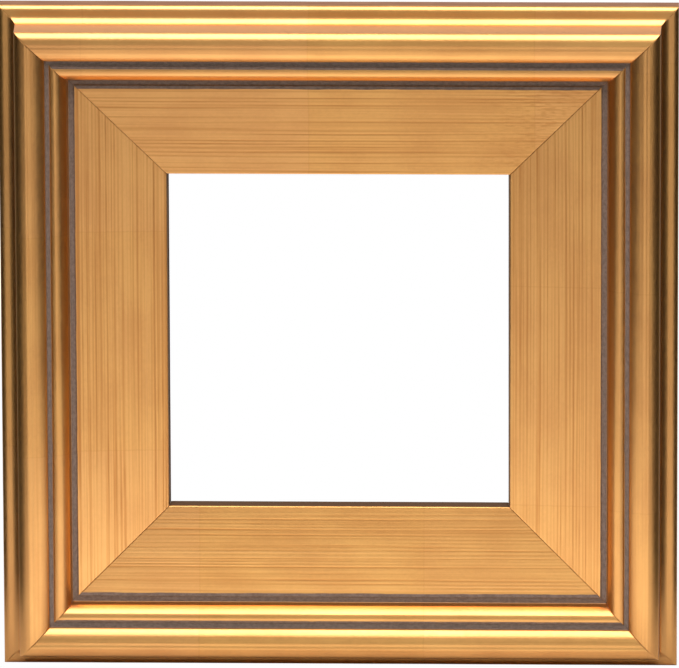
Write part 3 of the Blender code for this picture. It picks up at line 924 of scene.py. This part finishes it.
def make_world():
    """White to the camera; to the object, a bright backdrop behind and dim walls around."""
    world = bpy.data.worlds.new("studio")
    bpy.context.scene.world = world
    world.use_nodes = True
    world.node_tree.nodes.clear()
    n = Nodes(world.node_tree)
    way = n.node("ShaderNodeTexCoord", output="Generated")
    backdrop = n.remap(n.part(way, "Y"), -0.1, 0.75, *WALL_GLOW)
    below = n.remap(n.part(way, "Z"), 0.05, -0.2, 1.0, 2.0)
    beside = n.remap(n.math("ABSOLUTE", n.part(way, "X")), 0.3, 0.75, 1.0, SIDE_DIMMING)
    glow = n.math("MULTIPLY", n.math("MULTIPLY", backdrop, below), beside)
    room = n.node("ShaderNodeBackground", {"Strength": glow})
    shown = n.node("ShaderNodeBackground", {"Color": (1.0, 1.0, 1.0), "Strength": 1.0})
    seen = n.node("ShaderNodeLightPath", output="Is Camera Ray")
    output = n.tree.nodes.new("ShaderNodeOutputWorld")
    n.feed(output.inputs["Surface"], n.node("ShaderNodeMixShader", {0: seen, 1: room, 2: shown}))


FLOOR_BELOW = 0.55
FLOOR_SIZE = (3.0, 3.0)
CARD_GLOW = 0.85
CARD_BELOW = 0.5 * MM
CARD_Y = -0.65
CARD_SIZE = (0.48, 1.85)


def flat_stage(name, place, size, surface):
    shape = bmesh.new()
    corners = [(-1, -1), (1, -1), (1, 1), (-1, 1)]
    shape.faces.new([shape.verts.new((x * size[0] / 2, y * size[1] / 2, 0)) for x, y in corners])
    made = linked(name, mesh_from(shape, name))
    made.data.materials.append(surface)
    made.location = place
    return made


def make_floor():
    """A pale floor, which isn't there for a view from under it."""
    s = Surface("pale_floor", Roughness=0.9)
    s.set("Base Color", (0.86, 0.86, 0.86))
    under = s.node("ShaderNodeNewGeometry", output="Backfacing")
    clear = s.node("ShaderNodeBsdfTransparent")
    both = s.node("ShaderNodeMixShader", {0: under, 1: s.shader.outputs[0], 2: clear})
    s.feed(s.tree.nodes["Material Output"].inputs["Surface"], both)
    flat_stage("floor", (0, 0, CAD_LOW.z - FLOOR_BELOW), FLOOR_SIZE, s.material)


def make_card():
    """A white card that lights the frame from below, as a white table does in a studio. It
    glows in a strip just ahead of the frame, and faintly far ahead."""
    s = Surface("lit_card", Roughness=0.9, Emission_Strength=1.0)
    s.set("Base Color", (0.72, 0.72, 0.72))
    place = s.node("ShaderNodeTexCoord", output="Object")
    ahead = s.part(place, "Y")
    strip = s.math("MULTIPLY", s.remap(ahead, 0.32, 0.44), s.remap(ahead, 0.60, 0.54))
    strip = s.math("MULTIPLY", strip, s.remap(s.math("ABSOLUTE", s.part(place, "X")), 0.17, 0.125))
    glow = s.math("ADD", strip, s.remap(ahead, 0.2, -0.9, 0.0, 0.3))
    s.set("Emission Color", s.mix(glow, (0, 0, 0), (CARD_GLOW, CARD_GLOW, CARD_GLOW)))
    card = flat_stage("bounce_card", (0, CARD_Y, CAD_LOW.z - CARD_BELOW), CARD_SIZE, s.material)
    card.visible_camera = False
    card.visible_shadow = False


make_camera()
make_world()
make_lights()
make_floor()
make_card()
bpy.context.scene.view_settings.view_transform = "Standard"

rail_surfaces = [gilded_surface(), side_surface(), wood_surface()]
nail_steel = metal_surface("nail_steel", (0.34, 0.35, 0.37), (0.16, 0.14, 0.13), 0.35, 0.55)
button_brass = metal_surface("stamped_brass", (0.78, 0.55, 0.23), (0.52, 0.34, 0.13), 0.24, 0.42)
strap_nickel = metal_surface("strap_nickel", (0.66, 0.64, 0.60), (0.46, 0.44, 0.41), 0.2, 0.36)
wire_nickel = metal_surface("wire_nickel", (0.70, 0.68, 0.64), (0.50, 0.48, 0.45), 0.14, 0.28, 0.00001)
screw_zinc = metal_surface("screw_zinc", (0.60, 0.61, 0.62), (0.40, 0.41, 0.40), 0.26, 0.42)
bumper_rubber = rubber_surface()

for nail_name, nail_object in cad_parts.items():
    if nail_name.startswith("v_nail"):
        for material_slot in nail_object.material_slots:
            material_slot.material = nail_steel
for rail_side in SIDES:
    make_rail(rail_side, rail_surfaces)
    make_turn_button(rail_side, button_brass)
    make_screw(f"turn_button_screw_{rail_side}", screw_zinc)
for hanger_side in HANDS:
    make_strap(hanger_side, strap_nickel)
    make_ring(hanger_side, wire_nickel)
    make_bumper(hanger_side, bumper_rubber)
    for screw_number in (1, 2):
        make_screw(f"hanger_screw_{hanger_side}_{screw_number}", screw_zinc)
